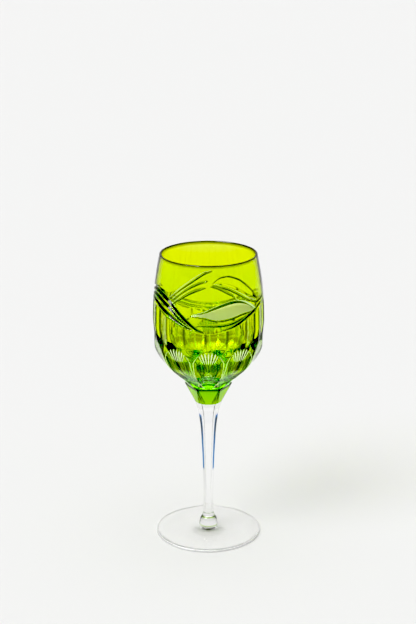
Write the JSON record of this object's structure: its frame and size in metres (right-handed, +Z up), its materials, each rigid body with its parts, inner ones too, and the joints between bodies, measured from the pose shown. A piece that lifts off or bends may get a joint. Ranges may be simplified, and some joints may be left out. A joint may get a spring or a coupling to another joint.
{
  "type": "wine glass",
  "caption": "Stemmed wine glass with a coloured cut-crystal bowl, ten cut petals and sixteen flutes round its lower wall, faceted collar, clear six-sided stem and round foot.",
  "frame": {"origin": "centre of the ring that the foot rests on", "axes": "+Z up along the stem to the rim, -Y towards the front petal and the front flat of the stem"},
  "size_m": [0.0726, 0.0726, 0.195],
  "materials": {
    "green_crystal": "polished yellow-green cut crystal, one leaf left satin",
    "clear_crystal": "polished clear crystal"
  },
  "bodies": {
    "root": {"bowl": "green_crystal", "collar": "green_crystal", "stem": "clear_crystal", "base_knop": "clear_crystal", "foot": "clear_crystal"}
  },
  "joints": []
}
